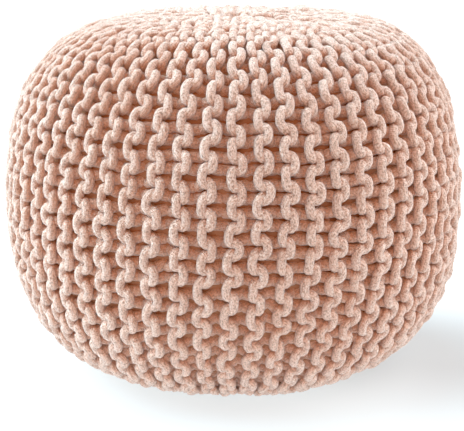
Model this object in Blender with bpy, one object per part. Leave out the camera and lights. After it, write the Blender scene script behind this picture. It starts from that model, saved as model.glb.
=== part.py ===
"""Round knitted pouf: a garter-stitch cover of thick cotton cord, filled and drawn closed.

The cover's rows run from pole to pole, so upright ridges go all round it. They crowd together
towards the crown, where the valleys of every group of six end one after another. The pouf's
weight presses its base flat.

The pouf is one solid. A profile is spun round the upright axis, and the ridges are then raised
in the points of that surface. Units are metres, +Z is up, and the origin lies on the floor under
the middle of the pouf.
"""

import math
from collections import namedtuple

import bmesh
import bpy
from mathutils import Vector

# Driving dimensions of the filled pouf, over the crests of its ridges
DIAMETER = 0.500
HEIGHT = 0.385
WIDEST_AT = 0.190  # height of the widest level

# Upright ridges of the knitting, and the valleys between them
RIDGES = 60
RIDGE_HEIGHT = 0.009  # from the valley to the crest
ROUNDNESS = 0.9  # under 1 makes the crests broad and the valleys narrow
LEAN = math.radians(3.5)  # how far a ridge turns about the axis between base and crown
FRONT = -math.pi / 2  # the direction, at half height, that a crest faces

# Where the valleys of one group of ridges end on the crown, measured from the axis. The first
# runs on to the gathered hole in the middle.
VALLEY_ENDS = (0.0, 0.135, 0.062, 0.120, 0.075, 0.105)
CROWN_BLEND = 0.020  # the length over which a valley dies away
GATHER_RADIUS = 0.026
GATHER_DEPTH = 0.008

# The base, whose valleys start at the edge of its flat middle
FLAT_RADIUS = 0.100
BASE_BLEND = 0.045

# The surface's grid
COLUMNS_PER_RIDGE = 4
RINGS = 20
CURVE_STEPS = 400  # points on the smooth profile that the rings are spaced along

COVER_COLOUR = (0.79, 0.57, 0.46, 1.0)  # pale peach cotton, in linear values
COVER_ROUGHNESS = 0.92

RADIUS = DIAMETER / 2
RIDGE_ANGLE = 2 * math.pi / RIDGES

# Each half of the profile is the curve (r / RADIUS)^side + (z / reach)^end = 1. The base would
# reach a little below the floor, and what would lie below it is pressed flat.
Half = namedtuple("Half", "reach side end")
CROWN = Half(reach=HEIGHT - WIDEST_AT, side=5.0, end=2.05)
BASE = Half(reach=WIDEST_AT + 0.0015, side=4.4, end=2.25)


def clear_scene():
    for old in list(bpy.data.objects):
        bpy.data.objects.remove(old)


def smooth_step(value):
    value = min(1.0, max(0.0, value))
    return value * value * (3 - 2 * value)


def profile_point(angle):
    """A point (radius, height) of the smooth profile; the angle runs from -90 to 90 degrees."""
    half = CROWN if angle >= 0 else BASE
    radius = RADIUS * math.cos(angle) ** (2 / half.side)
    rise = half.reach * abs(math.sin(angle)) ** (2 / half.end)
    height = WIDEST_AT + math.copysign(rise, angle)
    return Vector((radius, height))


def smooth_profile():
    """Close points from the edge of the flat base to the middle of the crown."""
    turn = math.pi / 2
    angles = [turn * (2 * i / CURVE_STEPS - 1) for i in range(CURVE_STEPS + 1)]
    points = [profile_point(angle) for angle in angles]
    points[-1] = Vector((0, HEIGHT))
    return [point for point in points if point.y > 0]


def spaced(points, count):
    """The same curve with count steps of equal length."""
    along = [0.0]
    for before, after in zip(points, points[1:]):
        along.append(along[-1] + (after - before).length)
    found = []
    index = 0
    for step in range(count + 1):
        target = along[-1] * step / count
        while index < len(points) - 2 and along[index + 1] < target:
            index += 1
        share = (target - along[index]) / (along[index + 1] - along[index])
        found.append(points[index].lerp(points[index + 1], share))
    return found


def valley_depth(angle, radius, on_crown):
    """How deep the knitting lies under its crests here, in metres. A crest is at angle 0."""
    ridges_round = angle / RIDGE_ANGLE + 0.5
    valley = math.floor(ridges_round + 0.5)
    across = ridges_round - valley  # from the valley's middle, where a crest is half a ridge away
    if on_crown:
        starts = VALLEY_ENDS[valley % len(VALLEY_ENDS)]
        blend = CROWN_BLEND
    else:
        starts = FLAT_RADIUS
        blend = BASE_BLEND
    share = smooth_step((radius - starts) / blend)
    crest = math.sin(math.pi * abs(across)) ** ROUNDNESS
    return RIDGE_HEIGHT * share * (1 - crest)


def spun_body(profile):
    """The plain turned body, closed by the flat base, as a bmesh."""
    body = bmesh.new()
    points = [body.verts.new((point.x, 0, point.y)) for point in profile]
    edges = [body.edges.new(pair) for pair in zip(points, points[1:])]
    bmesh.ops.spin(
        body,
        geom=points + edges,
        axis=(0, 0, 1),
        angle=2 * math.pi,
        steps=RIDGES * COLUMNS_PER_RIDGE,
        use_merge=True,
    )
    bmesh.ops.remove_doubles(body, verts=body.verts, dist=1e-5)
    rim = [edge for edge in body.edges if edge.is_boundary]
    bmesh.ops.contextual_create(body, geom=rim)
    bmesh.ops.recalc_face_normals(body, faces=body.faces)
    return body


def raise_ridges(body):
    """Sinks the valleys between the ridges, and the gathered hole in the crown."""
    body.normal_update()
    moves = []
    for point in body.verts:
        x, y, height = point.co
        radius = math.hypot(x, y)
        on_crown = height > WIDEST_AT
        lean = LEAN * (height / HEIGHT - 0.5)
        angle = math.atan2(y, x) - FRONT - lean
        move = point.normal * -valley_depth(angle, radius, on_crown)
        if on_crown:
            move.z -= GATHER_DEPTH * (1 - smooth_step(radius / GATHER_RADIUS))
        moves.append((point, move))
    for point, move in moves:
        point.co += move


def cotton_cord():
    cord = bpy.data.materials.new("cotton_cord")
    cord.use_nodes = True
    shader = cord.node_tree.nodes["Principled BSDF"]
    shader.inputs["Base Color"].default_value = COVER_COLOUR
    shader.inputs["Roughness"].default_value = COVER_ROUGHNESS
    shader.inputs["Metallic"].default_value = 0.0
    return cord


def knitted_pouf():
    body = spun_body(spaced(smooth_profile(), RINGS))
    raise_ridges(body)
    mesh = bpy.data.meshes.new("knitted_pouf")
    body.to_mesh(mesh)
    body.free()
    mesh.shade_smooth()
    mesh.materials.append(cotton_cord())
    return bpy.data.objects.new("knitted_pouf", mesh)


clear_scene()
collection = bpy.data.collections.new("pouf")
bpy.context.scene.collection.children.link(collection)
collection.objects.link(knitted_pouf())
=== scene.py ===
# %% [markdown]
# # A round knitted pouf
#
# The pouf is a cover of thick cotton cord, knitted in garter stitch and packed tight with filling.
# The knitting is a strip turned on its side: each row of cord runs from the base, up the side, to
# the crown, and two neighbouring rows make one upright ridge. The strip's two ends are sewn
# together, and its edges are gathered at the crown and under the base.
#
# A grid of bumps could imitate that, but garter stitch is known by the gaps between its loops. So
# every row is laid here as one long line of cord, which winds through its neighbours as the real
# one does, and the line is then given its thickness.

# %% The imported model, which gives the sizes
import math

import bmesh
import bpy
import numpy as np
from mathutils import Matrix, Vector


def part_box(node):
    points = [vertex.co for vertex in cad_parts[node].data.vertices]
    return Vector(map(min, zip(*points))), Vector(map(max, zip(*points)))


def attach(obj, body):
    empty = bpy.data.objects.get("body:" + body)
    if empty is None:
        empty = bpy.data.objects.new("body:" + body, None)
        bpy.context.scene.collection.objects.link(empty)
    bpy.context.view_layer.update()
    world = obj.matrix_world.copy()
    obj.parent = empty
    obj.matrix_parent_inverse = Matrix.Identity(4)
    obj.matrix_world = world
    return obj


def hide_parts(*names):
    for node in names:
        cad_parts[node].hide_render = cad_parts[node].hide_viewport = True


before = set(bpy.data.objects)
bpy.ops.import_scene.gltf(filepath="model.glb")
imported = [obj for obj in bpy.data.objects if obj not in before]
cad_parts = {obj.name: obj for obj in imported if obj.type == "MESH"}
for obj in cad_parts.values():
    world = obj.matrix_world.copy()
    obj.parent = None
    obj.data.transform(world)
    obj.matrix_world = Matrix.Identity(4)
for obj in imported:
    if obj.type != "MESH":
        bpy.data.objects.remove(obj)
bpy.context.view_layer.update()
solid_low, solid_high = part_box("knitted_pouf")
MM = 0.001
RADIUS = (solid_high.x - solid_low.x) / 2
HEIGHT = solid_high.z
print(f"the solid is {2 * RADIUS:.3f} m across and {HEIGHT:.3f} m high")

# %% [markdown]
# ## The form that the knitting lies on
#
# Seen from the side, a filled pouf is a flattened circle with full shoulders, and its weight
# presses the base flat. That outline could be drawn as a curve by hand. A superellipse for the
# crown and another for the base give it from a few numbers, which are easy to change.

# %% The outline, from the middle of the base to the middle of the crown
WIDEST_AT = 0.190  # the height of the pouf's widest level
PRESSED = 1.5 * MM  # how far the base would reach below the floor, if it weren't pressed flat
CROWN_CURVE = (HEIGHT - WIDEST_AT, 5.0, 2.05)  # reach, and the powers of its side and its end
BASE_CURVE = (WIDEST_AT + PRESSED, 4.4, 2.25)
OUTLINE_POINTS = 6000


def outline():
    """The radius and height of points on the outline over the ridges."""
    angle = np.linspace(-math.pi / 2, math.pi / 2, OUTLINE_POINTS)
    radius, height = np.empty(OUTLINE_POINTS), np.empty(OUTLINE_POINTS)
    for curve, way, here in ((CROWN_CURVE, 1, angle >= 0), (BASE_CURVE, -1, angle < 0)):
        reach, side, end = curve
        radius[here] = RADIUS * np.cos(angle[here]) ** (2 / side)
        height[here] = WIDEST_AT + way * reach * np.abs(np.sin(angle[here])) ** (2 / end)
    return radius, np.maximum(height, 0)


edge_radius, edge_height = outline()
print(f"the outline is widest, {edge_radius.max():.3f} m from the axis, {WIDEST_AT} m up")

# %% [markdown]
# ## Places on that form
#
# A knitter counts along a row and not in metres of height. So a place on the cover is given by how
# far along the outline it is and how far off it. The outline is first shifted inwards, to the
# middle of the knitting's thickness, and the two directions are kept for each of its points.

# %% The middle of the knitting, and the direction that faces outwards
HALF_THICKNESS = 10.7 * MM  # of the knitting

run, rise = np.gradient(edge_radius), np.gradient(edge_height)
length = np.hypot(run, rise)
OUT_RADIUS, OUT_HEIGHT = rise / length, -run / length
MID_RADIUS = edge_radius - HALF_THICKNESS * OUT_RADIUS
MID_HEIGHT = edge_height - HALF_THICKNESS * OUT_HEIGHT
steps = np.hypot(np.diff(MID_RADIUS), np.diff(MID_HEIGHT))
MID_ALONG = np.concatenate([[0], np.cumsum(steps)])
FULL = MID_ALONG[-1]
WIDEST_ALONG = MID_ALONG[np.argmax(MID_RADIUS)]
print(f"a row from pole to pole would be {FULL:.3f} m long")

# %% [markdown]
# ## Ridges and short rows
#
# Sixty ridges go round the side. Towards the crown they would crowd into nothing, so a knitter
# leaves some rows short: in every group of twelve, eleven ridges end one after another, and one
# runs on to the gathered middle. The others take over the room of a ridge that ends.
#
# The ridges could be drawn one by one. Here each has one number, where it ends, and the widths of
# a whole group follow from the twelve numbers at any distance from the axis.

# %% Sizes of the knitting
RIDGES = 60
GROUP = 12  # ridges in one group of short rows
GROUP_ANGLE = 2 * math.pi * GROUP / RIDGES
RIDGE = 26.2 * MM  # the width of a ridge at the widest level
FRONT = -math.pi / 2  # a ridge faces the front
LEAN = math.radians(3.5)  # how far a ridge turns about the axis between base and crown
# How far from the axis each ridge of a group ends. Neighbours never end one just after the other.
RIDGE_ENDS = np.array([38, 76, 0, 135, 60, 98, 24, 122, 50, 86, 12, 110]) * MM
END_BLEND = 25 * MM  # the length over which a ridge narrows before its end
NO_WIDTH = 1e-9  # what is left of it after its end
print(f"{RIDGES} ridges of {RIDGE / MM:.1f} mm, in groups of {GROUP}")


# %% Where a ridge lies
def smooth_step(value):
    """0 up to 0, 1 from 1 on, and a smooth rise between."""
    value = np.clip(value, 0, 1)
    return value * value * (3 - 2 * value)


def ridge_edges(radius):
    """For each radius, the angles of the thirteen edges between a group's twelve ridges."""
    widths = smooth_step((radius - RIDGE_ENDS[:, None]) / END_BLEND) + NO_WIDTH
    edges = np.concatenate([np.zeros((1, len(radius))), np.cumsum(widths, axis=0)])
    return edges / edges[-1] * GROUP_ANGLE


def around(ridges, radius, height):
    """The angle about the axis of a place that is so many ridges from the first one's edge, and the
    width of the ridge there."""
    edges = ridge_edges(radius)
    group = np.floor(ridges / GROUP)
    inside = ridges - group * GROUP
    ridge = np.minimum(inside.astype(int), GROUP - 1)
    here = np.arange(len(radius))
    width = edges[ridge + 1, here] - edges[ridge, here]
    angle = group * GROUP_ANGLE + edges[ridge, here] + (inside - ridge) * width
    lean = LEAN * (height / HEIGHT - 0.5)
    return FRONT - math.pi / RIDGES + angle + lean, width * radius


for away in (0.2, 0.1):
    widths = np.diff(ridge_edges(np.array([away]))[:, 0]) * away / MM
    print(f"{away} m from the axis, the ridges of a group are {widths.round()} mm wide")

# %% [markdown]
# ## Where a row starts and stops
#
# A row starts near its ridge's end under the base and stops near its end on the crown. The middle
# rows stop at the small ring where the cover is gathered. Full rows could be knitted and cut off
# afterwards. Two numbers along the outline say the same before any cord is made, and a little
# chance keeps the ends from lining up.

# %% The ends of a row
ROW_END = 4 * MM  # a row is cut this far before its ridge's end
GATHER = 7 * MM  # the radius of the gathered middle
END_JITTER = 3 * MM  # and at most this far from there, either way


def row_limits(ridge, chance):
    """Where a ridge's rows start on the base and stop on the crown, along the outline."""
    cut = max(RIDGE_ENDS[ridge % GROUP] + ROW_END, GATHER) + chance.uniform(-1, 1) * END_JITTER
    low = MID_ALONG < WIDEST_ALONG
    start = np.interp(cut, MID_RADIUS[low], MID_ALONG[low])
    stop = np.interp(-cut, -MID_RADIUS[~low], MID_ALONG[~low])
    return start, stop


LONGEST = int(np.argmin(RIDGE_ENDS))  # the ridge that runs on to the gathered middle
first, last = row_limits(LONGEST, np.random.default_rng(0))
print(f"a longest row lies between {first:.3f} and {last:.3f} m along the outline")

# %% [markdown]
# ## Made by hand
#
# No two stitches of a hand-knitted cover are the same, and its rows wander. Moving every point by
# its own random amount would only roughen the cord. Here the amounts are drawn at the crossings of
# a net, with smooth values between them: wide nets bend whole rows, and fine ones shift a stitch.


# %% Smooth unevenness
class Wander:
    """Unevenness over the cover, from one random value at each crossing of a net."""

    ROWS = 200  # of the net, more than enough for any place along a row
    MIDDLE = 100  # the net's row at stitch 0

    def __init__(self, seed, size, ridges, stitches):
        self.ridges, self.stitches = ridges, stitches
        self.round = round(RIDGES / ridges)
        self.net = np.random.default_rng(seed).normal(0, size, (self.round, self.ROWS))

    def at(self, ridges, stitches):
        """The unevenness at places that are so many ridges round and so many stitches along."""
        across, along = ridges / self.ridges, stitches / self.stitches + self.MIDDLE
        column, row = np.floor(across).astype(int), np.floor(along).astype(int)
        x, y = smooth_step(across - column), smooth_step(along - row)
        left, right = column % self.round, (column + 1) % self.round
        near = self.net[left, row] * (1 - x) + self.net[right, row] * x
        far = self.net[left, row + 1] * (1 - x) + self.net[right, row + 1] * x
        return near * (1 - y) + far * y


# For each direction, slow waves of the whole cover and a shift of each stitch, which add up
ASIDE = [Wander(1, 2.0 * MM, 4, 5), Wander(2, 1.3 * MM, 0.5, 0.5)]
ALONG = [Wander(3, 2.2 * MM, 5, 4), Wander(4, 1.5 * MM, 0.5, 0.5)]
OUTWARDS = [Wander(5, 1.3 * MM, 5, 5), Wander(6, 0.8 * MM, 0.5, 0.5)]
OWN = [Wander(7 + i, 0.6 * MM, 0.5, 0.5) for i in range(3)]  # what each row adds of its own


def unevenness(wanders, own, row, ridges, stitches):
    """How far a row's points are off their places in one direction."""
    shared = sum(wander.at(ridges, stitches) for wander in wanders)
    return shared + own.at(np.full_like(stitches, row / 2), stitches)


print(f"{len(ASIDE + ALONG + OUTWARDS + OWN)} nets make the cover uneven")

# %% [markdown]
# ## Settled filling
#
# Use has pressed the pouf down a little at one shoulder, so its outline is not quite the same on
# both sides. A lattice could push it in. One smooth hollow does it here for the cord and for what
# lies behind it, so they stay together. A second helper tells where the ridges crowd together.

# %% The sunken shoulder, and the crowded parts of the cover
SLUMP = 6 * MM  # how far the left shoulder has sunk
SLUMP_ALL_ROUND = 0.2  # the share of that on the right side
SLUMP_SIDE = math.pi  # the direction of the left side
SLUMP_AT = 545 * MM  # along the outline, where the shoulder has sunk most
SLUMP_WIDTH = 80 * MM  # at this distance from there, it has sunk a good third of that
CROWDED = (120 * MM, 210 * MM)  # from the axis: full crowding up to the first, none past the second


def slump(angle, place):
    """How far the form gives at one shoulder, where the filling has settled."""
    facing = (1 + np.cos(angle - SLUMP_SIDE)) / 2
    shoulder = np.exp(-(((place - SLUMP_AT) / SLUMP_WIDTH) ** 2))
    return SLUMP * (SLUMP_ALL_ROUND + (1 - SLUMP_ALL_ROUND) * facing**2) * shoulder


def crowding(radius):
    """0 on the side, and 1 where the ridges crowd together on the crown and the base."""
    inner, outer = CROWDED
    return smooth_step((outer - radius) / (outer - inner))


sunk_left, sunk_right = (slump(side, SLUMP_AT) / MM for side in (SLUMP_SIDE, 0))
print(f"the left shoulder has sunk {sunk_left:.1f} mm and the right one {sunk_right:.1f} mm")

# %% [markdown]
# ## How one row winds
#
# On a garter ridge, the cord comes forward in short upright arcs. Rows take turns: one shows its
# arcs like "(" and the next like ")", a little to the side, and between the arcs the cord dives
# through the loops of its neighbour to the back, where it makes the same arcs again.
#
# One stitch could be modelled and repeated by the thousand, but then no two could differ. One
# formula holds all of them. The line swings from side to side like a wave, its stitches are drawn
# together at each turn until they almost touch, and its depth follows the swing.

# %% The wave, as a row of cord laid flat would show it
STITCH = 26.4 * MM  # the length of a stitch along the row
FIRST_STITCH = 268.6 * MM  # how far along the outline a stitch of the side is centred
SWING = 11.9 * MM  # how far a row swings to each side
BLOCKY = 0.8  # how straight the arcs are: near 0 they are round
PULL = {1: 0.85, -1: 0.75}  # how far the turns of a "(" and of a ")" row are drawn into loops
OPENER = {1: 0.03, -1: 0.01}  # in stitches, how much wider their left turns are than their right
CROWDED_OPENER = 0.05  # how much wider the left turns get where ridges crowd
CROWDED_SWING = 0.2  # and by what share the rows swing further
STEPS = 20  # points on one stitch
DENSER = 0.22  # how much closer they lie on the arcs that show


def wave(side, start, stop):
    """The turning angle of a row's points, how far each swings aside and how far it goes across
    the ridge, and its place in stitches. The arcs show at the left where side is 1, and at the
    right where it is -1."""
    first, last = (start - FIRST_STITCH) / STITCH, (stop - FIRST_STITCH) / STITCH
    even = 2 * math.pi * np.linspace(first, last, int((last - first) * STEPS))
    turn = even - side * DENSER * np.sin(even)
    place = FIRST_STITCH + STITCH * turn / (2 * math.pi)
    crowd = crowding(np.interp(place, MID_ALONG, MID_RADIUS))
    swing = -SWING * np.tanh(BLOCKY * np.cos(turn)) / math.tanh(BLOCKY)
    across = side * RIDGE / 4 + swing * (1 + CROWDED_SWING * crowd)
    opening = (OPENER[side] + CROWDED_OPENER * crowd) * np.sin(turn)
    stitches = (turn + PULL[side] * np.sin(2 * turn)) / (2 * math.pi) + opening
    return turn, swing, across, stitches


whole = wave(1, 0, FULL)[3]
print(f"from pole to pole, {len(whole)} points would make {np.ptp(whole):.0f} stitches")

# %% [markdown]
# ## A row on the pouf
#
# A flat knitting could be wrapped round the form by a modifier, which would squash the cord as
# well. Here only the wave is laid over the form, and the cord gets its thickness later. It is
# stretched thin in the arcs that show and full between them, it rises where ridges are squeezed
# together, and its ends are tucked in. Nothing goes through the floor: the cord lies on it, as the
# pouf's weight presses it there.

# %% The line of a row in space
DIVE = 7.8 * MM  # from the front arcs to the middle, and as far again to the back
DIVE_WIDTH = 3.8 * MM  # the sideways distance over which the cord dives
ARC_THICKNESS = 4.55 * MM  # the cord's radius in the arcs, where it is stretched
LEG_THICKNESS = 5.9 * MM  # and between them
MOST_SQUEEZE = 1.7  # how many times narrower than at the side a ridge may count
RISE = 0.9  # the power by which the arcs rise where ridges are squeezed
THINNER = 0.15  # and by which the cord gets thinner
DEEPER = 0.8  # the share of the arcs' extra rise that goes inwards
TUCK = 16 * MM  # the length over which a row's end is tucked in
TUCK_DEPTH = 6 * MM  # and how deep
PATTERN_SHIFT = 500  # in mm, so that no two rows have the cotton's pattern in step


def row_line(ridge, side, strip, chance):
    """The points of one row of cord, and what the sweep and the cotton need to know at each."""
    start, stop = row_limits(ridge, chance)
    turn, swing, across, stitches = wave(side, start, stop)
    dive = np.tanh((swing + RIDGE / 4) / DIVE_WIDTH) + np.tanh((swing - RIDGE / 4) / DIVE_WIDTH)
    row, ridges = 2 * ridge + (side < 0), ridge + 0.5 + across / RIDGE
    across = across + unevenness(ASIDE, OWN[0], row, ridges, stitches)
    place = FIRST_STITCH + STITCH * stitches
    place = place + unevenness(ALONG, OWN[1], row, ridges, stitches)
    out = unevenness(OUTWARDS, OWN[2], row, ridges, stitches)
    for end in (start, stop):
        out = out - TUCK_DEPTH * (1 - smooth_step(np.abs(place - end) / TUCK))

    place = np.clip(place, 0, FULL)
    height = np.interp(place, MID_ALONG, MID_HEIGHT)
    radius = np.interp(place, MID_ALONG, MID_RADIUS)
    angle, width = around(ridge + 0.5 + across / RIDGE, radius, height)
    squeeze = np.clip(RIDGE / width, 1, MOST_SQUEEZE)
    rise = squeeze**RISE
    thick = ARC_THICKNESS + (LEG_THICKNESS - ARC_THICKNESS) * np.sin(turn) ** 2
    thick = thick / squeeze**THINNER
    out = out - side * DIVE / 2 * dive * rise - DIVE * (rise - 1) * DEEPER - slump(angle, place)
    radius = np.maximum(radius + out * np.interp(place, MID_ALONG, OUT_RADIUS), 0)
    height = np.maximum(height + out * np.interp(place, MID_ALONG, OUT_HEIGHT), thick)
    points = np.stack([radius * np.cos(angle), radius * np.sin(angle), height], axis=1)
    steps = np.linalg.norm(np.diff(points, axis=0), axis=1) / MM
    shift = chance.uniform(0, PATTERN_SHIFT)
    return {
        "points": points,
        "thick": thick,
        "place": place,
        "length": shift + np.concatenate([[0], np.cumsum(steps)]),
        "share": np.linspace(0, 1, len(points)),
        "strip": np.full(len(points), strip),
    }


sample = row_line(LONGEST, 1, 0, np.random.default_rng(0))
print(f"a longest row takes {np.ptp(sample['length']) * MM:.2f} m of cord")

# %% [markdown]
# ## A helper for nodes
#
# The sweep of the cord and every material are built from nodes. They could be drawn in the editor,
# but then nobody could read them here. One small function adds a node, sets it up and links it, so
# each line below reads like one node of the editor.


# %% Adding a node
def add(tree, kind, inputs=None, **settings):
    """Adds a node to a tree. Each input gets a value, or is linked to another node's socket, or to
    the first output in use of another node."""
    node = tree.nodes.new(kind)
    for name, value in settings.items():
        setattr(node, name, value)
    for name, value in (inputs or {}).items():
        in_use = [socket for socket in node.inputs if socket.enabled]
        socket = next((socket for socket in in_use if socket.name == name), None)
        socket = socket or in_use[name]
        if isinstance(value, bpy.types.Node):
            value = next(output for output in value.outputs if output.enabled)
        if isinstance(value, bpy.types.NodeSocket):
            tree.links.new(value, socket)
        else:
            socket.default_value = value
    return node


# %% [markdown]
# ## From lines to cord
#
# A curve object with a bevel would give the lines their thickness, but the cotton's pattern has to
# know how far along and how far round the cord it is. A small tree of geometry nodes sweeps a
# circle along the lines instead, and carries those numbers over to the surface.

# %% The sweep
SIDES = 8  # of the cord's section


def sweep_tree():
    """Sweeps a circle along lines. The lines' attribute "thick" is its radius, and each point of
    the surface learns its direction from the line as the attribute "round"."""
    tree = bpy.data.node_groups.new("sweep", "GeometryNodeTree")
    for way in ("INPUT", "OUTPUT"):
        tree.interface.new_socket("Geometry", in_out=way, socket_type="NodeSocketGeometry")
    curves = add(tree, "GeometryNodeMeshToCurve", {"Mesh": add(tree, "NodeGroupInput")})
    thick = add(tree, "GeometryNodeInputNamedAttribute", {"Name": "thick"}, data_type="FLOAT")
    section = add(tree, "GeometryNodeCurvePrimitiveCircle", {"Resolution": SIDES, "Radius": 1.0})
    direction = {"Geometry": section, "Name": "round"}
    direction["Value"] = add(tree, "GeometryNodeInputPosition")
    vector = {"data_type": "FLOAT_VECTOR", "domain": "POINT"}
    section = add(tree, "GeometryNodeStoreNamedAttribute", direction, **vector)
    sweep = {"Curve": curves, "Profile Curve": section, "Scale": thick, "Fill Caps": True}
    add(tree, "NodeGroupOutput", {0: add(tree, "GeometryNodeCurveToMesh", sweep)})
    return tree


SWEEP = sweep_tree()
print(f"the sweep has {len(SWEEP.nodes)} nodes and gives the cord {SIDES} sides")


# %% Numbers on a mesh's points
def read(mesh, name, width=1):
    """One of a mesh's point attributes as an array."""
    values = np.empty(len(mesh.vertices) * width, np.float32)
    field = "vector" if width == 3 else "value"
    mesh.attributes[name].data.foreach_get(field, values)
    return values.reshape(-1, width) if width > 1 else values


def store(mesh, name, values):
    """Keeps an array as one of a mesh's point attributes."""
    mesh.attributes.new(name, "FLOAT", "POINT").data.foreach_set("value", values.astype(np.float32))


# %% [markdown]
# ## The cord of some rows, as one piece
#
# The rows' points become a mesh of bare lines, with the numbers of each point stored on it. The
# sweep runs on that as a modifier. It could stay on the piece, but its result is kept as a plain
# mesh, so that the piece needs no modifier when it is rendered or exported.


# %% Laying and sweeping rows
def bare_lines(name, rows):
    """A mesh of one line for each row."""
    counts = [len(row["points"]) for row in rows]
    lines = bpy.data.meshes.new(name)
    lines.vertices.add(sum(counts))
    points = np.concatenate([row["points"] for row in rows])
    lines.vertices.foreach_set("co", points.astype(np.float32).ravel())
    last = np.cumsum(counts) - 1
    first = np.setdiff1d(np.arange(sum(counts)), last)
    lines.edges.add(len(first))
    pairs = np.stack([first, first + 1], axis=1).astype(np.int32)
    lines.edges.foreach_set("vertices", pairs.ravel())
    for key in ("thick", "place", "length", "share", "strip"):
        store(lines, key, np.concatenate([row[key] for row in rows]))
    return lines


def swept(name, rows):
    """A piece of cord: the lines of these rows with their thickness, as a plain mesh."""
    guide = bpy.data.objects.new("guide", bare_lines(name, rows))
    bpy.context.scene.collection.objects.link(guide)
    guide.modifiers.new("sweep", "NODES").node_group = SWEEP
    depsgraph = bpy.context.evaluated_depsgraph_get()
    mesh = bpy.data.meshes.new_from_object(
        guide.evaluated_get(depsgraph), preserve_all_data_layers=True, depsgraph=depsgraph
    )
    bpy.data.objects.remove(guide)
    mesh.name = name
    mesh.shade_smooth()
    piece = bpy.data.objects.new(name, mesh)
    bpy.context.scene.collection.objects.link(piece)
    return piece


# %% [markdown]
# ## What the cotton has to know
#
# Deep in the knitting the cotton is painted darker and stronger in colour than on the crests, as
# painted shade for the light that hardly gets in there. The material can't measure that itself, so
# each point of the surface is told how far it lies off the middle of the knitting.


# %% The depth of each point
def note_depth(mesh):
    """Stores how far off the middle of the knitting each point of the surface is, in mm."""
    places = np.empty(len(mesh.vertices) * 3, np.float32)
    mesh.vertices.foreach_get("co", places)
    x, y, height = places.reshape(-1, 3).T
    place = read(mesh, "place")
    off_radius = np.hypot(x, y) - np.interp(place, MID_ALONG, MID_RADIUS)
    off_height = height - np.interp(place, MID_ALONG, MID_HEIGHT)
    out_radius = np.interp(place, MID_ALONG, OUT_RADIUS)
    out_height = np.interp(place, MID_ALONG, OUT_HEIGHT)
    store(mesh, "depth", (off_radius * out_radius + off_height * out_height) / MM)


# %% [markdown]
# ## A flat map of the cord
#
# When the pouf leaves Blender, its materials are painted onto pictures, and those need a flat map
# of the surface. An automatic map cuts a wound cord into thousands of scraps. Slit along its
# length, every row of cord gives one straight strip, and the strips lie side by side.

# %% The map for the export
STRIP_EDGE = 0.05  # of a strip's width, left free at each side
STRIP_END = 0.03  # of the map's height, left free at each end
CAP_AT = 0.015  # where a strip's end cap lies, beyond the strip
CAP_SIZE = (0.4, 0.008)  # the cap's radii: across, of a strip's width, and up, of the map's height


def lay_flat(mesh, strips):
    """Adds the map. Its strips stand side by side, each with the two round end caps of its row."""
    vertex = np.empty(len(mesh.loops), np.int32)
    mesh.loops.foreach_get("vertex_index", vertex)
    corners = np.empty(len(mesh.polygons), np.int32)
    mesh.polygons.foreach_get("loop_total", corners)
    face = np.repeat(np.arange(len(corners)), corners)
    facing = read(mesh, "round", 3)[vertex]
    side = np.rint(np.arctan2(facing[:, 1], facing[:, 0]) / (2 * math.pi) * SIDES) % SIDES
    widest = np.zeros(len(corners))
    np.maximum.at(widest, face, side)
    side[widest[face] - side > SIDES / 2] += SIDES  # faces beside the slit end at its far edge
    share, turn = read(mesh, "share")[vertex], side / SIDES
    end = np.where(share > 0.5, 1, -1)
    up = 0.5 + (share - 0.5) * (1 - 2 * STRIP_END)
    is_cap = corners[face] > 4  # all other faces have four corners
    cap_angle = 2 * math.pi * turn
    cap_up = 0.5 + end * (0.5 - STRIP_END + CAP_AT) + CAP_SIZE[1] * np.sin(cap_angle)
    across = np.where(is_cap, 0.5 + CAP_SIZE[0] * np.cos(cap_angle), turn)
    across = read(mesh, "strip")[vertex] + STRIP_EDGE + (1 - 2 * STRIP_EDGE) * across
    spots = np.stack([across / strips, np.where(is_cap, cap_up, up)], axis=1)
    flat = mesh.uv_layers.new(name="OFBake")
    flat.data.foreach_set("uv", spots.astype(np.float32).ravel())


# %% [markdown]
# ## The cover
#
# The cover is knitted as one strip. Here it is made in five pieces, one for each group of short
# rows, because one mesh of all the cord would be too heavy to handle. Nothing shows where two
# pieces meet, since each row is a cord of its own anyway.

# %% Knitting the cover
CHANCE = np.random.default_rng(11)  # seeded, so that every run knits the same cover
DONE_WITH = ("thick", "place", "share", "strip")  # attributes that no material reads
cover = []
for group in range(RIDGES // GROUP):
    rows = []
    for ridge in range(group * GROUP, (group + 1) * GROUP):
        for side in (1, -1):
            rows.append(row_line(ridge, side, len(rows), CHANCE))
    piece = swept(f"knitting_{group + 1}", rows)
    note_depth(piece.data)
    lay_flat(piece.data, len(rows))
    for done in DONE_WITH:
        piece.data.attributes.remove(piece.data.attributes[done])
    cover.append(piece)
    faces = sum(len(face.vertices) - 2 for face in piece.data.polygons)
    print(f"{piece.name}: {len(rows)} rows, {faces} triangles")

# %% [markdown]
# ## What the loops lie on
#
# Between the loops one sees a little of what is behind them, where the filling presses the cover's
# inner side together. Modelling that as more cord would double the work for a few dark gaps. It is
# one closed, turned form instead: a profile a little smaller than the knitting, spun full circle.

# %% The profile of the body behind the loops
BEHIND = 1.2 * MM  # from the middle of the knitting
DIMPLE = 30 * MM  # the radius of the drawn-in middle of the crown and the base
DIMPLE_DEPTH = 7 * MM
CROWDED_DEPTH = 4 * MM  # how much deeper the body lies where the ridges crowd together
BODY_RINGS = 72
BODY_PLACES = np.linspace(0, FULL, BODY_RINGS)


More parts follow.
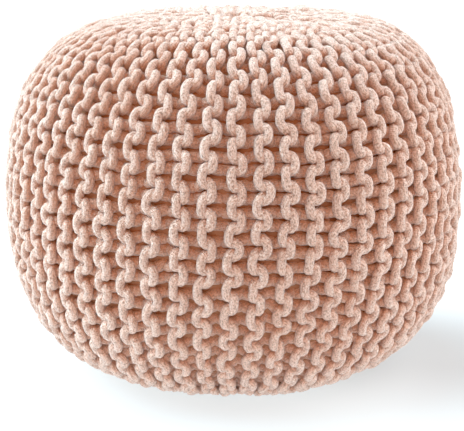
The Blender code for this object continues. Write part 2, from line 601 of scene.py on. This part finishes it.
def body_profile():
    """The radius and height of the body at each of its places along the outline."""
    radius = np.interp(BODY_PLACES, MID_ALONG, MID_RADIUS)
    behind = BEHIND + DIMPLE_DEPTH * (1 - smooth_step(radius / DIMPLE))
    behind = behind + CROWDED_DEPTH * crowding(radius)
    height = np.interp(BODY_PLACES, MID_ALONG, MID_HEIGHT)
    height -= behind * np.interp(BODY_PLACES, MID_ALONG, OUT_HEIGHT)
    radius -= behind * np.interp(BODY_PLACES, MID_ALONG, OUT_RADIUS)
    radius[0] = radius[-1] = 0
    return radius, height


print(f"the body behind the loops is {2 * body_profile()[0].max():.3f} m across")

# %% Spinning it, and letting it sink with the cover
BODY_COLUMNS = 120
SAME_POINT = 0.01 * MM  # points that are nearer to each other become one


def pouf_body():
    """The closed body: its profile spun full circle, and sunk at the shoulder like the cover."""
    radius, height = body_profile()
    body = bmesh.new()
    points = [body.verts.new((x, 0, z)) for x, z in zip(radius, height)]
    edges = [body.edges.new(pair) for pair in zip(points, points[1:])]
    bmesh.ops.spin(
        body,
        geom=points + edges,
        axis=(0, 0, 1),
        angle=2 * math.pi,
        steps=BODY_COLUMNS,
        use_merge=True,
    )
    bmesh.ops.remove_doubles(body, verts=body.verts, dist=SAME_POINT)
    rising = np.maximum.accumulate(height)
    for vertex in body.verts:
        x, y, z = vertex.co
        place = np.interp(z, rising, BODY_PLACES)
        give = slump(math.atan2(y, x), place)
        inwards = give * np.interp(place, MID_ALONG, OUT_RADIUS) / max(math.hypot(x, y), MM)
        down = give * np.interp(place, MID_ALONG, OUT_HEIGHT)
        vertex.co = (x * (1 - inwards), y * (1 - inwards), z - down)
    bmesh.ops.recalc_face_normals(body, faces=body.faces)
    mesh = bpy.data.meshes.new("pouf_body")
    body.to_mesh(mesh)
    body.free()
    mesh.shade_smooth()
    piece = bpy.data.objects.new("pouf_body", mesh)
    bpy.context.scene.collection.objects.link(piece)
    return piece


body = pouf_body()
print(f"{body.name}: {len(body.data.polygons)} faces")

# %% [markdown]
# ## Colours
#
# Colours are written as the hex codes that any colour picker shows. Blender calculates with light,
# for which the codes have to be turned into linear values. The values could be worked out by hand,
# but nobody knows a colour by them, so one function does it each time.


# %% From hex codes to light
def linear(code):
    """The linear red, green, blue and alpha of a hex code."""
    parts = [int(code[i : i + 2], 16) / 255 for i in (1, 3, 5)]
    return [*(x / 12.92 if x <= 0.04045 else ((x + 0.055) / 1.055) ** 2.4 for x in parts), 1.0]


def new_material(name):
    """A material, its node tree and its shader."""
    material = bpy.data.materials.new(name)
    material.use_nodes = True
    return material, material.node_tree, material.node_tree.nodes["Principled BSDF"]


def set_values(shader, **values):
    """Sets values on the shader's own sockets, named with _ for each space."""
    for name, value in values.items():
        shader.inputs[name.replace("_", " ")].default_value = value


print(f"a picker's middle grey, #808080, is only {linear('#808080')[0]:.2f} of the light of white")

# %% [markdown]
# ## The colour of the cotton
#
# Thick pouf cord is a soft tube of spun cotton in pale peach. It was dyed as fibre and mixed, so
# it is cloudy and full of small darker specks, and pale lint lies on it, most of it on the crests.
# Deep in the knitting its colour is painted darker and stronger, as painted shade, and the lint is
# painted thinner there, so the crests look lit. Pictures of real cotton could be wrapped round it.
# Noise in two sizes does the same without a seam or a repeat.
#
# The noise is read at a place on the cord itself, in millimetres: how far round, and how far along.

# %% Cotton, dyed and flecked, with painted shade deep in the knitting
CORD_RADIUS = 5.2  # in mm, between that of the arcs and that of the legs
PALE = "#F1C6AC"  # the dye's clouds, from this
PINK = "#E7AC8F"  # to this
# painted shade: the darker, stronger colour of the cotton deep in the knitting
DEEP_SHADE = "#CF8862"  # the cotton deep in the knitting
# the painted shade is full at the first depth and gone at the second
DEPTHS = (3.0, 12.5)  # in mm off the middle of the knitting, from there to the crests
CLOUD = 1 / 8.3  # one cloud of dye in 8.3 mm
SPECK = "#97664A"  # dark fibres
SPECKS = (0.50, 0.64)  # a fleck is a speck past the first value of the noise, and full at the second
SPECK_STRENGTH = 0.8
LINT = "#FFEADB"  # loose pale fibres
LINTS = (0.48, 0.32)  # and so for the lint, which is where the noise is low
# the lint's strength, low deep in and high on the crests, paints the crests paler, as lit
LINT_STRENGTH = (0.25, 0.8)  # deep in the knitting and on its crests
FLECK = 1 / 1.7  # one fleck in 1.7 mm, coarser than fibres are, so that it shows in the render


def place_on_cord(tree):
    """Where on the cord a point is: across and deep in it by its direction, and along it."""
    facing = add(tree, "ShaderNodeAttribute", attribute_name="round").outputs["Vector"]
    length = add(tree, "ShaderNodeAttribute", attribute_name="length").outputs["Fac"]
    size = (CORD_RADIUS, CORD_RADIUS, 0)
    across = add(tree, "ShaderNodeVectorMath", {0: facing, 1: size}, operation="MULTIPLY")
    along = add(tree, "ShaderNodeCombineXYZ", {"Z": length})
    place = add(tree, "ShaderNodeVectorMath", {0: across, 1: along}, operation="ADD")
    return facing, length, place


def cotton_colour(tree, place):
    """The clouds of dyed colour, painted shade by the depth in the knitting, then the specks, and
    the lint, painted stronger on the crests as a painted highlight.
    """
    depth = add(tree, "ShaderNodeAttribute", attribute_name="depth").outputs["Fac"]
    depths = {"Value": depth, "From Min": DEPTHS[0], "From Max": DEPTHS[1]}
    crest_unshaded = add(tree, "ShaderNodeMapRange", depths, interpolation_type="SMOOTHSTEP")
    clouds = add(tree, "ShaderNodeTexNoise", {"Vector": place, "Scale": CLOUD, "Detail": 2.0})
    dye_and_shade = {"Factor": clouds, "A": linear(PALE), "B": linear(PINK)}
    dye_and_shade = add(tree, "ShaderNodeMix", dye_and_shade, data_type="RGBA")
    # painted shade: deep in the knitting the colour turns darker and stronger
    dye_and_shade = {"Factor": crest_unshaded, "A": linear(DEEP_SHADE), "B": dye_and_shade}
    dye_and_shade = add(tree, "ShaderNodeMix", dye_and_shade, data_type="RGBA")

    flecks = add(tree, "ShaderNodeTexNoise", {"Vector": place, "Scale": FLECK, "Detail": 3.0})
    dark = {"Value": flecks, "From Min": SPECKS[0], "From Max": SPECKS[1]}
    dark = add(tree, "ShaderNodeMapRange", {**dark, "To Max": SPECK_STRENGTH})
    dye_and_shade = {"Factor": dark, "A": dye_and_shade, "B": linear(SPECK)}
    dye_and_shade = add(tree, "ShaderNodeMix", dye_and_shade, data_type="RGBA")
    lint = {"Value": flecks, "From Min": LINTS[0], "From Max": LINTS[1]}
    lint = add(tree, "ShaderNodeMapRange", lint)
    # painted highlight: the lint is strongest on the crests and weak deep in the knitting
    strength = {"Value": crest_unshaded, "To Min": LINT_STRENGTH[0], "To Max": LINT_STRENGTH[1]}
    strength = add(tree, "ShaderNodeMapRange", strength)
    pale = add(tree, "ShaderNodeMath", {0: lint, 1: strength}, operation="MULTIPLY")
    dye_and_shade = {"Factor": pale, "A": dye_and_shade, "B": linear(LINT)}
    return add(tree, "ShaderNodeMix", dye_and_shade, data_type="RGBA")


# %% [markdown]
# ## The relief of the cotton
#
# The tube is braided: its strands slant round the cord both ways, and fine fibres stand between
# them. Strands of real geometry would be far too many. Two waves that cross, one for each slant,
# and a fine noise give a height, and a Bump node tilts the surface by it.

# %% Strands and fibres
STRANDS = 12  # round the cord, in each direction
STRAND = 2.6  # in mm, from one strand to the next along the cord
STRAND_HEIGHT = 0.3  # against 1 for the fibres
FIBRE = 1 / 1.1  # one tuft of fibres in 1.1 mm
RELIEF = 1.5 * MM  # deeper than the real one, so that it shows in the render


def cotton_relief(tree, facing, length, place):
    """The normal of the surface, tilted by the braid and the fibres."""
    parts = add(tree, "ShaderNodeSeparateXYZ", {"Vector": facing}).outputs
    angle = add(tree, "ShaderNodeMath", {0: parts["Y"], 1: parts["X"]}, operation="ARCTAN2")
    turns = add(tree, "ShaderNodeMath", {0: angle, 1: STRANDS}, operation="MULTIPLY")
    rise = {0: length, 1: 2 * math.pi / STRAND}
    rise = add(tree, "ShaderNodeMath", rise, operation="MULTIPLY")
    waves = []
    for slant in ("ADD", "SUBTRACT"):
        wave_angle = add(tree, "ShaderNodeMath", {0: turns, 1: rise}, operation=slant)
        waves.append(add(tree, "ShaderNodeMath", {0: wave_angle}, operation="SINE"))
    braid = add(tree, "ShaderNodeMath", {0: waves[0], 1: waves[1]}, operation="MULTIPLY")
    fibres = add(tree, "ShaderNodeTexNoise", {"Vector": place, "Scale": FIBRE, "Detail": 4.0})
    both = {0: braid, 1: STRAND_HEIGHT, 2: fibres}
    both = add(tree, "ShaderNodeMath", both, operation="MULTIPLY_ADD")
    return add(tree, "ShaderNodeBump", {"Height": both, "Strength": 1.0, "Distance": RELIEF})


print(f"a strand is {2 * math.pi * CORD_RADIUS / STRANDS:.1f} mm wide round the cord")

# %% [markdown]
# ## Cotton cord
#
# Cotton is matt, so the roughness is high and the shine low, at cotton's IOR of 1.53. What gives it
# away is its fuzz: loose fibres catch the light where the surface turns away. They could be grown
# as hair, at a cost that nothing in the picture would repay. The shader's sheen does the same.


# %% The cord's material
def cotton_cord():
    material, tree, shader = new_material("peach_cotton_cord")
    facing, length, place = place_on_cord(tree)
    colour = cotton_colour(tree, place).outputs[2]
    relief = cotton_relief(tree, facing, length, place).outputs[0]
    tree.links.new(colour, shader.inputs["Base Color"])
    tree.links.new(relief, shader.inputs["Normal"])
    set_values(shader, Roughness=0.9, IOR=1.53, Specular_IOR_Level=0.25)
    set_values(shader, Sheen_Weight=0.45, Sheen_Roughness=0.6, Sheen_Tint=linear("#FFFEFC"))
    return material


CORD = cotton_cord()
print(f"{CORD.name}: {len(CORD.node_tree.nodes)} nodes")

# %% [markdown]
# ## The shaded inside
#
# What shows between the loops is the same cotton, pressed flat and seen only in shade. Its colour
# is painted shade: darker and deeper than the cord's, cloudy and furry, with nothing sharp. It could
# share the cord's material, but it has no cord to place a pattern on. Its noise is read in metres,
# on the piece's own coordinates.

# %% The inner cotton, in painted shade
# painted shade: the cotton behind the loops is given the colours of cotton in shade
INNER_SHADE = ("#A9704F", "#935B3E")  # from one cloud to the next
INNER_CLOUD = 1 / 0.0083  # one cloud in 8.3 mm
INNER_FIBRE = 1 / 0.0011  # one tuft of fibres in 1.1 mm


def inner_cotton():
    material, tree, shader = new_material("shaded_inner_cotton")
    place = add(tree, "ShaderNodeTexCoord").outputs["Object"]
    clouds = {"Vector": place, "Scale": INNER_CLOUD, "Detail": 3.0}
    clouds = add(tree, "ShaderNodeTexNoise", clouds)
    dye_and_shade = {"Factor": clouds, "A": linear(INNER_SHADE[0]), "B": linear(INNER_SHADE[1])}
    dye_and_shade = add(tree, "ShaderNodeMix", dye_and_shade, data_type="RGBA")
    fibres = {"Vector": place, "Scale": INNER_FIBRE, "Detail": 3.0}
    fibres = add(tree, "ShaderNodeTexNoise", fibres)
    relief = add(tree, "ShaderNodeBump", {"Height": fibres, "Distance": RELIEF})
    tree.links.new(dye_and_shade.outputs[2], shader.inputs["Base Color"])
    tree.links.new(relief.outputs[0], shader.inputs["Normal"])
    set_values(shader, Roughness=0.95, Specular_IOR_Level=0.1)
    return material


INSIDE = inner_cotton()
print(f"{INSIDE.name}: {len(INSIDE.node_tree.nodes)} nodes")

# %% [markdown]
# ## Dressing the imported model
#
# The plain solid could be deleted, but then the part's table wouldn't know what became of it. So
# it is hidden and the pieces take its place. Each is told what it rides on and gets a material of
# its own.

# %% Materials and places
for piece in [*cover, body]:
    piece.data.materials.clear()
    piece.data.materials.append(CORD if piece in cover else INSIDE)
    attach(piece, "root")
    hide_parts("knitted_pouf")
print(f"{len(cover)} pieces of knitting and {body.name} replace the solid")

# %% [markdown]
# ## A pale table
#
# The pouf stands on a white light table, which shines up at it from below. That is why its lower
# half is so light and the shadow round it so faint. A lamp under the table would need a hole for
# it. The table's surface glows by itself instead, most of all near the pouf. To the camera it glows
# a little less round one place to the right of the pouf, as a painted shadow where the real one
# falls.

# %% The table's glow
GLOW = "#E4F6FF"  # the light that the table throws on the pouf
GLOW_NEAR = (0.3, 1.2)  # up to so far from the middle, in metres, it is so strong
GLOW_FAR = (0.95, 0.0)  # and from here on, none is left
SEEN = "#F1FCFF"  # what the camera sees of the table
# painted shadow: the glow that the camera sees is weakest round here
SHADE = (0.24, 0, 0)  # where its shade is deepest, to the right of the middle
SEEN_SHADE = (0.04, 0.3264)  # up to so far from there, in metres, it is so strong
SEEN_OPEN = (0.24, 0.6834)  # and from here on so


def table_glow(tree, seen):
    """The strength and the colour of the table's glow. To the camera the glow is dimmer round one
    place, as a painted shadow.
    """
    place = add(tree, "ShaderNodeTexCoord").outputs["Object"]
    away = add(tree, "ShaderNodeVectorMath", {0: place}, operation="LENGTH")
    glow = {"Value": away, "From Min": GLOW_NEAR[0], "To Min": GLOW_NEAR[1]}
    glow = {**glow, "From Max": GLOW_FAR[0], "To Max": GLOW_FAR[1]}
    glow = add(tree, "ShaderNodeMapRange", glow)
    away = add(tree, "ShaderNodeVectorMath", {0: place, 1: SHADE}, operation="DISTANCE")
    light = {"Value": away, "From Min": SEEN_SHADE[0], "To Min": SEEN_SHADE[1]}
    light = {**light, "From Max": SEEN_OPEN[0], "To Max": SEEN_OPEN[1]}
    light = add(tree, "ShaderNodeMapRange", light, interpolation_type="SMOOTHSTEP")
    strength = {"Value": seen, "To Min": glow, "To Max": light}
    colour = {"Factor": seen, "A": linear(GLOW), "B": linear(SEEN)}
    colour = add(tree, "ShaderNodeMix", colour, data_type="RGBA")
    return add(tree, "ShaderNodeMapRange", strength).outputs[0], colour.outputs[2]


print(f"the glow is {GLOW_NEAR[1]} near the pouf and ends {GLOW_FAR[0]} m from its middle")

# %% The table
TABLE_REACH = 8  # metres to each side, so that its edge is out of sight
TABLE = "#959290"  # its own colour, under the glow


def light_table():
    """A flat, matt, glowing sheet under the pouf, which isn't a piece of it."""
    table = bmesh.new()
    bmesh.ops.create_grid(table, x_segments=1, y_segments=1, size=TABLE_REACH)
    mesh = bpy.data.meshes.new("light_table")
    table.to_mesh(mesh)
    table.free()
    piece = bpy.data.objects.new("light_table", mesh)
    bpy.context.scene.collection.objects.link(piece)
    material, tree, shader = new_material("white_light_table")
    set_values(shader, Base_Color=linear(TABLE), Roughness=0.9, Specular_IOR_Level=0.0)
    seen = add(tree, "ShaderNodeLightPath").outputs["Is Camera Ray"]
    strength, colour = table_glow(tree, seen)
    tree.links.new(strength, shader.inputs["Emission Strength"])
    tree.links.new(colour, shader.inputs["Emission Color"])
    mesh.materials.append(material)


light_table()
print(f"the table is {2 * TABLE_REACH} m wide")

# %% [markdown]
# ## Light
#
# The light comes from two big cool windows, one at each side and a little behind, so both edges
# are nearly white and the front stays warm and soft. The left one is the brighter, and the sky
# shines in above it. What comes back from the room in front is weak and warm, and what comes from
# the ceiling is weaker still.
#
# Area lamps could stand where the windows are, and would need a place and a size each. Suns with a
# wide angle throw the same soft shadows and need only a direction.

# %% Lamps
# For each lamp, in degrees: where it stands, from 0 behind the camera to 90 at the right, how high
# it is over the table, and how wide its light is. Then its strength and its colour.
LAMPS = {
    "left_window": (-109, 22, 76, 11.3, "#D9F2FF"),
    "left_sky": (-108, 54, 70, 3.9, "#A1E4FF"),
    "right_window": (107, 31, 70, 6.0, "#EBF7FF"),
    "room": (0, 25, 60, 1.4, "#FFAE7B"),
    "ceiling": (0, 85, 60, 0.2, "#FFFFFF"),
}


def soft_lamp(name, azimuth, elevation, spread, strength, colour):
    """A sun whose light is as wide as a window's."""
    lamp = bpy.data.lights.new(name, "SUN")
    lamp.energy, lamp.color, lamp.angle = strength, linear(colour)[:3], math.radians(spread)
    turn, lift = math.radians(azimuth), math.radians(elevation)
    towards = Vector((math.sin(turn), -math.cos(turn), math.tan(lift)))
    light = bpy.data.objects.new(name, lamp)
    light.rotation_euler = towards.to_track_quat("Z", "Y").to_euler()
    bpy.context.scene.collection.objects.link(light)


for name, lamp in LAMPS.items():
    soft_lamp(name, *lamp)
print(f"{len(LAMPS)} lamps, the strongest from the left")


# %% The backdrop, which lights nothing
BACKDROP = 1.1  # a little over white


def backdrop():
    """White for the camera behind the table, and black for everything else."""
    world = bpy.data.worlds.new("white_backdrop")
    world.use_nodes = True
    seen = add(world.node_tree, "ShaderNodeLightPath").outputs["Is Camera Ray"]
    strength = add(world.node_tree, "ShaderNodeMapRange", {"Value": seen, "To Max": BACKDROP})
    background = world.node_tree.nodes["Background"]
    background.inputs["Color"].default_value = linear("#FFFFFF")
    world.node_tree.links.new(strength.outputs[0], background.inputs["Strength"])
    bpy.context.scene.world = world


backdrop()

# %% [markdown]
# ## The camera
#
# A long lens, a little above the crown, looks down on the pouf by some fourteen degrees. It could
# be moved by hand until the view fits. Here its place follows from an angle and a distance, and it
# is aimed at a point, so each of them can be changed alone.
#
# The Standard view shows colours as they are. A gamma over 1 lifts the middle tones, as the soft
# pictures of home furnishings have them.

# %% The camera
LENS = 97.6  # in mm
LOOK_DOWN = math.radians(13.58)
DISTANCE = 1.4025  # in metres, from the axis at the pouf's widest level
AIM = Vector((-0.0006, 0, 0.160))  # a little below that
VIEW_GAMMA = 1.27
camera = bpy.data.objects.new("camera", bpy.data.cameras.new("camera"))
camera.data.lens = LENS
back, up = DISTANCE * math.cos(LOOK_DOWN), DISTANCE * math.sin(LOOK_DOWN)
camera.location = (0, -back, WIDEST_AT + up)
camera.rotation_euler = (AIM - camera.location).to_track_quat("-Z", "Y").to_euler()
bpy.context.scene.collection.objects.link(camera)
bpy.context.scene.camera = camera
bpy.context.scene.view_settings.view_transform = "Standard"
bpy.context.scene.view_settings.gamma = VIEW_GAMMA
print(f"the camera is {camera.location.z:.2f} m up and {-camera.location.y:.2f} m in front")
